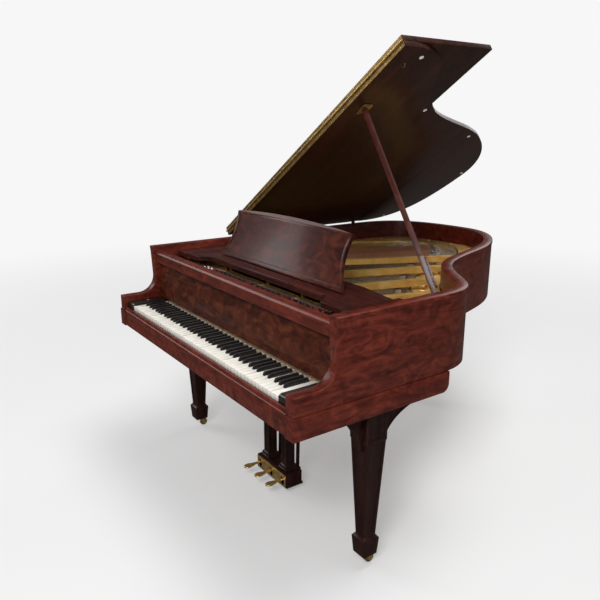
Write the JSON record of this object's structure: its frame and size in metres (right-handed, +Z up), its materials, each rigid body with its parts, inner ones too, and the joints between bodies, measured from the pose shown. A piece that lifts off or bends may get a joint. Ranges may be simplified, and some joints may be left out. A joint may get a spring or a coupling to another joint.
{
  "type": "grand piano",
  "caption": "Small grand piano in figured mahogany, lid propped open over a gold iron plate, with music desk, tapered legs on casters and a pedal lyre.",
  "frame": {"origin": "middle of the footprint of the piano with its lid open, on the floor", "axes": "+X to the treble end on the player's right, +Y from the keyboard to the tail, +Z up"},
  "size_m": [1.4772, 1.856, 1.8214],
  "materials": {
    "mahogany": "gloss",
    "dark_mahogany": "satin",
    "beech": "matte",
    "spruce": "satin",
    "gold_iron": "satin",
    "brass": "polished",
    "steel": "satin",
    "copper": "satin",
    "ivory": "satin",
    "ebony": "satin"
  },
  "bodies": {
    "case": {"outer_rim": "mahogany", "inner_rim": "beech", "keybed": "mahogany", "key_slip": "mahogany", "key_block_bass": "ebony", "key_block_treble": "ebony", "stretcher": "mahogany", "soundboard": "spruce", "iron_plate": "gold_iron", "pin_block": "beech", "treble_bridge": "steel", "bass_bridge": "copper", "leg_bass": "dark_mahogany", "leg_treble": "dark_mahogany", "leg_tail": "dark_mahogany", "lyre": "dark_mahogany", "pedal_plate": "brass", "lyre_brace": "dark_mahogany", "case_hinge_front": "brass", "case_hinge_rear": "brass", "desk_rail_bass": "mahogany", "desk_rail_treble": "mahogany", "prop_bracket": "brass"},
    "lid_body": {"lid": "mahogany", "lid_hinge_leaf": "brass", "lid_strap_front": "brass", "lid_strap_rear": "brass", "prop_cup_plate": "brass"},
    "flap_body": {"lid_flap": "mahogany", "flap_hinge_leaf": "brass"},
    "prop_body": {"lid_prop": "mahogany"},
    "half_prop_body": {"half_prop": "mahogany"},
    "tray_body": {"desk_tray": "mahogany"},
    "desk_body": {"music_desk": "mahogany"},
    "strut_body": {"desk_strut": "mahogany"},
    "fallboard_body": {"fallboard": "mahogany"},
    "keyboard_body": {"key_frame": "ivory", "action_stack": "beech"},
    "damper_body": {"damper_set": "ebony"},
    "left_pedal_body": {"pedal_left": "brass"},
    "middle_pedal_body": {"pedal_middle": "brass"},
    "right_pedal_body": {"pedal_right": "brass"},
    "key_c4_body": {"key_c4": "ivory"},
    "key_c_sharp4_body": {"key_c_sharp4": "ebony"},
    "key_d4_body": {"key_d4": "ivory"},
    "key_d_sharp4_body": {"key_d_sharp4": "ebony"},
    "key_e4_body": {"key_e4": "ivory"},
    "key_f4_body": {"key_f4": "ivory"},
    "key_f_sharp4_body": {"key_f_sharp4": "ebony"},
    "key_g4_body": {"key_g4": "ivory"},
    "key_g_sharp4_body": {"key_g_sharp4": "ebony"},
    "key_a4_body": {"key_a4": "ivory"},
    "key_a_sharp4_body": {"key_a_sharp4": "ebony"},
    "key_b4_body": {"key_b4": "ivory"},
    "fork_bass_body": {"caster_bass_fork": "brass"},
    "wheel_bass_body": {"caster_bass_wheel": "brass"},
    "fork_treble_body": {"caster_treble_fork": "brass"},
    "wheel_treble_body": {"caster_treble_wheel": "brass"},
    "fork_tail_body": {"caster_tail_fork": "brass"},
    "wheel_tail_body": {"caster_tail_wheel": "brass"}
  },
  "joints": [
    {"name": "lid_hinge", "type": "hinge", "parent": "case", "child": "lid_body", "pos_m": [-0.7385, 0.119, 1.003], "axis": [0, -1, 0], "range_deg": [0, 25]},
    {"name": "flap_hinge", "type": "hinge", "parent": "lid_body", "child": "flap_body", "pos_m": [-0.74012, -0.336, 1.00553], "axis": [0.8425, 0, 0.5388], "range_deg": [0, 178]},
    {"name": "prop_hinge", "type": "hinge", "parent": "case", "child": "prop_body", "pos_m": [0.63795, -0.247, 0.94993], "axis": [-0.6152, -0.6832, -0.3934], "range_deg": [0, 62]},
    {"name": "half_prop_hinge", "type": "hinge", "parent": "prop_body", "child": "half_prop_body", "pos_m": [0.61909, -0.247, 0.97942], "axis": [0.6152, 0.6832, 0.3934], "range_deg": [0, 100]},
    {"name": "tray_slide", "type": "slide", "parent": "case", "child": "tray_body", "axis": [0, 1, 0], "range_m": [-0.05, 0.08]},
    {"name": "music_desk_hinge", "type": "hinge", "parent": "tray_body", "child": "desk_body", "pos_m": [0, -0.508, 0.9553], "axis": [-1, 0, 0], "range_deg": [0, 60]},
    {"name": "desk_strut_hinge", "type": "hinge", "parent": "desk_body", "child": "strut_body", "pos_m": [0, -0.48546, 1.00559], "axis": [1, 0, 0], "range_deg": [0, 120]},
    {"name": "fallboard_hinge", "type": "hinge", "parent": "case", "child": "fallboard_body", "pos_m": [0, -0.731, 0.757], "axis": [1, 0, 0], "range_deg": [0, 97]},
    {"name": "keyboard_shift", "type": "slide", "parent": "case", "child": "keyboard_body", "axis": [1, 0, 0], "range_m": [0, 0.0025], "stiffness_N_per_m": 8000, "springref_m": -0.002},
    {"name": "damper_lift", "type": "slide", "parent": "case", "child": "damper_body", "axis": [0, 0, 1], "range_m": [0, 0.005], "stiffness_N_per_m": 500, "springref_m": -0.002},
    {"name": "left_pedal_hinge", "type": "hinge", "parent": "case", "child": "left_pedal_body", "pos_m": [-0.07, -0.4938, 0.061], "axis": [1, 0, 0], "range_deg": [0, 7.5]},
    {"name": "middle_pedal_hinge", "type": "hinge", "parent": "case", "child": "middle_pedal_body", "pos_m": [0.02, -0.4938, 0.061], "axis": [1, 0, 0], "range_deg": [0, 7.5], "stiffness_Nm_per_rad": 8, "springref_deg": -4.58},
    {"name": "right_pedal_hinge", "type": "hinge", "parent": "case", "child": "right_pedal_body", "pos_m": [0.11, -0.4938, 0.061], "axis": [1, 0, 0], "range_deg": [0, 7.5]},
    {"name": "key_c4_hinge", "type": "hinge", "parent": "keyboard_body", "child": "key_c4_body", "pos_m": [-0.05889, -0.688, 0.704], "axis": [1, 0, 0], "range_deg": [0, 2.6], "stiffness_Nm_per_rad": 0.8, "springref_deg": -5.16},
    {"name": "key_c_sharp4_hinge", "type": "hinge", "parent": "keyboard_body", "child": "key_c_sharp4_body", "pos_m": [-0.04992, -0.688, 0.704], "axis": [1, 0, 0], "range_deg": [0, 2.6], "stiffness_Nm_per_rad": 0.8, "springref_deg": -5.16},
    {"name": "key_d4_hinge", "type": "hinge", "parent": "keyboard_body", "child": "key_d4_body", "pos_m": [-0.03534, -0.688, 0.704], "axis": [1, 0, 0], "range_deg": [0, 2.6], "stiffness_Nm_per_rad": 0.8, "springref_deg": -5.16},
    {"name": "key_d_sharp4_hinge", "type": "hinge", "parent": "keyboard_body", "child": "key_d_sharp4_body", "pos_m": [-0.02076, -0.688, 0.704], "axis": [1, 0, 0], "range_deg": [0, 2.6], "stiffness_Nm_per_rad": 0.8, "springref_deg": -5.16},
    {"name": "key_e4_hinge", "type": "hinge", "parent": "keyboard_body", "child": "key_e4_body", "pos_m": [-0.01178, -0.688, 0.704], "axis": [1, 0, 0], "range_deg": [0, 2.6], "stiffness_Nm_per_rad": 0.8, "springref_deg": -5.16},
    {"name": "key_f4_hinge", "type": "hinge", "parent": "keyboard_body", "child": "key_f4_body", "pos_m": [0.01178, -0.688, 0.704], "axis": [1, 0, 0], "range_deg": [0, 2.6], "stiffness_Nm_per_rad": 0.8, "springref_deg": -5.16},
    {"name": "key_f_sharp4_hinge", "type": "hinge", "parent": "keyboard_body", "child": "key_f_sharp4_body", "pos_m": [0.01976, -0.688, 0.704], "axis": [1, 0, 0], "range_deg": [0, 2.6], "stiffness_Nm_per_rad": 0.8, "springref_deg": -5.16},
    {"name": "key_g4_hinge", "type": "hinge", "parent": "keyboard_body", "child": "key_g4_body", "pos_m": [0.03534, -0.688, 0.704], "axis": [1, 0, 0], "range_deg": [0, 2.6], "stiffness_Nm_per_rad": 0.8, "springref_deg": -5.16},
    {"name": "key_g_sharp4_hinge", "type": "hinge", "parent": "keyboard_body", "child": "key_g_sharp4_body", "pos_m": [0.04712, -0.688, 0.704], "axis": [1, 0, 0], "range_deg": [0, 2.6], "stiffness_Nm_per_rad": 0.8, "springref_deg": -5.16},
    {"name": "key_a4_hinge", "type": "hinge", "parent": "keyboard_body", "child": "key_a4_body", "pos_m": [0.05889, -0.688, 0.704], "axis": [1, 0, 0], "range_deg": [0, 2.6], "stiffness_Nm_per_rad": 0.8, "springref_deg": -5.16},
    {"name": "key_a_sharp4_hinge", "type": "hinge", "parent": "keyboard_body", "child": "key_a_sharp4_body", "pos_m": [0.07447, -0.688, 0.704], "axis": [1, 0, 0], "range_deg": [0, 2.6], "stiffness_Nm_per_rad": 0.8, "springref_deg": -5.16},
    {"name": "key_b4_hinge", "type": "hinge", "parent": "keyboard_body", "child": "key_b4_body", "pos_m": [0.08245, -0.688, 0.704], "axis": [1, 0, 0], "range_deg": [0, 2.6], "stiffness_Nm_per_rad": 0.8, "springref_deg": -5.16},
    {"name": "caster_bass_swivel", "type": "hinge", "parent": "case", "child": "fork_bass_body", "pos_m": [-0.665, -0.569, 0.045], "axis": [0, 0, 1], "continuous": true},
    {"name": "caster_bass_axle", "type": "hinge", "parent": "fork_bass_body", "child": "wheel_bass_body", "pos_m": [-0.665, -0.549, 0.019], "axis": [1, 0, 0], "continuous": true},
    {"name": "caster_treble_swivel", "type": "hinge", "parent": "case", "child": "fork_treble_body", "pos_m": [0.665, -0.569, 0.045], "axis": [0, 0, 1], "continuous": true},
    {"name": "caster_treble_axle", "type": "hinge", "parent": "fork_treble_body", "child": "wheel_treble_body", "pos_m": [0.665, -0.549, 0.019], "axis": [1, 0, 0], "continuous": true},
    {"name": "caster_tail_swivel", "type": "hinge", "parent": "case", "child": "fork_tail_body", "pos_m": [-0.25, 0.559, 0.045], "axis": [0, 0, 1], "continuous": true},
    {"name": "caster_tail_axle", "type": "hinge", "parent": "fork_tail_body", "child": "wheel_tail_body", "pos_m": [-0.25, 0.579, 0.019], "axis": [1, 0, 0], "continuous": true}
  ],
  "couplings": [
    {"joint": "left_pedal_hinge", "follows": "keyboard_shift", "rad_per_m": 52.3},
    {"joint": "right_pedal_hinge", "follows": "damper_lift", "rad_per_m": 26.1},
    {"joint": "desk_strut_hinge", "follows": "music_desk_hinge", "ratio": 2}
  ]
}
